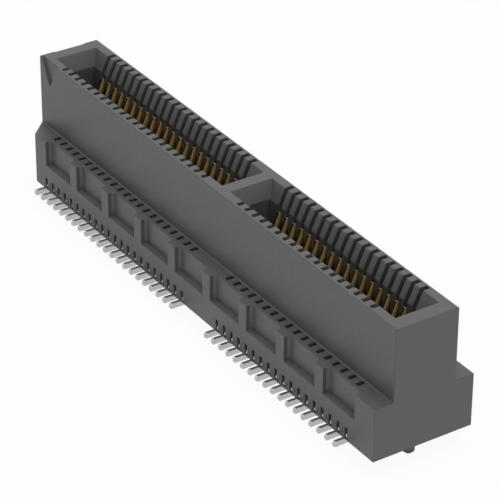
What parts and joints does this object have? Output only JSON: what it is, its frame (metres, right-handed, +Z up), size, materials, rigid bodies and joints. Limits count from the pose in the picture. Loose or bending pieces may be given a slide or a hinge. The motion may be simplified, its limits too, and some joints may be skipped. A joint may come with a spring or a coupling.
{
  "type": "card edge connector",
  "caption": "Vertical surface-mount card edge connector: a slotted moulded housing with a key wall, two rows of stamped spring contacts with surface-mount feet, and locating pegs.",
  "frame": {"origin": "middle of the moulded housing in plan, on the circuit board's surface", "axes": "+X along the card slot, away from the end with the pin-one marks; +Y across the slot, away from the side with the pin-one triangle; +Z up, away from the board"},
  "size_m": [0.0316, 0.007, 0.0077],
  "materials": {
    "housing_plastic": "satin black, glass-filled",
    "contact_metal": "gold plated in the slot, tin plated on the tails"
  },
  "bodies": {
    "root": {"housing": "housing_plastic", "contacts_front_01_02": "contact_metal", "contacts_front_03_04": "contact_metal", "contacts_front_05_06": "contact_metal", "contacts_front_07_08": "contact_metal", "contacts_front_09_10": "contact_metal", "contacts_front_11_12": "contact_metal", "contacts_front_13_14": "contact_metal", "contacts_front_15_16": "contact_metal", "contacts_front_17_18": "contact_metal", "contacts_front_19_20": "contact_metal", "contacts_front_21_22": "contact_metal", "contacts_front_23_24": "contact_metal", "contacts_front_25_26": "contact_metal", "contacts_front_27_28": "contact_metal", "contacts_front_29_30": "contact_metal", "contacts_front_31_32": "contact_metal", "contacts_front_33_34": "contact_metal", "contacts_front_35_36": "contact_metal", "contacts_front_37_38": "contact_metal", "contacts_front_39_40": "contact_metal", "contacts_rear_01_02": "contact_metal", "contacts_rear_03_04": "contact_metal", "contacts_rear_05_06": "contact_metal", "contacts_rear_07_08": "contact_metal", "contacts_rear_09_10": "contact_metal", "contacts_rear_11_12": "contact_metal", "contacts_rear_13_14": "contact_metal", "contacts_rear_15_16": "contact_metal", "contacts_rear_17_18": "contact_metal", "contacts_rear_19_20": "contact_metal", "contacts_rear_21_22": "contact_metal", "contacts_rear_23_24": "contact_metal", "contacts_rear_25_26": "contact_metal", "contacts_rear_27_28": "contact_metal", "contacts_rear_29_30": "contact_metal", "contacts_rear_31_32": "contact_metal", "contacts_rear_33_34": "contact_metal", "contacts_rear_35_36": "contact_metal", "contacts_rear_37_38": "contact_metal", "contacts_rear_39_40": "contact_metal"}
  },
  "joints": []
}
